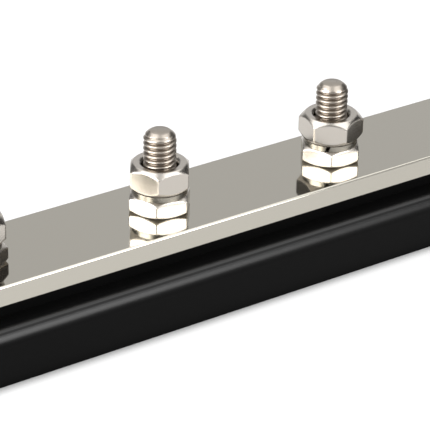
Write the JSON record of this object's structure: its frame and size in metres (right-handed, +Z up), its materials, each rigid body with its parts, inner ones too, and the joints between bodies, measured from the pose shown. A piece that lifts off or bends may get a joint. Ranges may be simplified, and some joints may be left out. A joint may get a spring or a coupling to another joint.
{
  "type": "power busbar",
  "caption": "Polished flat bar with a row of threaded terminal studs, nuts and lock washers, on a black moulded base with a screw hole at each end.",
  "frame": {"origin": "centre of the base's underside", "axes": "+X along the bar, +Y to the back, +Z up the studs"},
  "size_m": [0.221, 0.033, 0.0407],
  "materials": {
    "base_plastic": "satin black moulded glass-filled nylon",
    "bar_plate": "polished nickel plate on a copper bar",
    "nut_steel": "bright nickel-plated hexagon nuts",
    "washer_steel": "plain bright spring steel",
    "stud_steel": "bright rolled thread"
  },
  "bodies": {
    "root": {"base": "base_plastic", "bar": "bar_plate", "stud_1": "stud_steel", "lower_nut_1": "nut_steel", "lock_washer_1": "washer_steel", "upper_nut_1": "nut_steel", "stud_2": "stud_steel", "lower_nut_2": "nut_steel", "lock_washer_2": "washer_steel", "upper_nut_2": "nut_steel", "stud_3": "stud_steel", "lower_nut_3": "nut_steel", "lock_washer_3": "washer_steel", "upper_nut_3": "nut_steel", "stud_4": "stud_steel", "lower_nut_4": "nut_steel", "lock_washer_4": "washer_steel", "upper_nut_4": "nut_steel"}
  },
  "joints": []
}
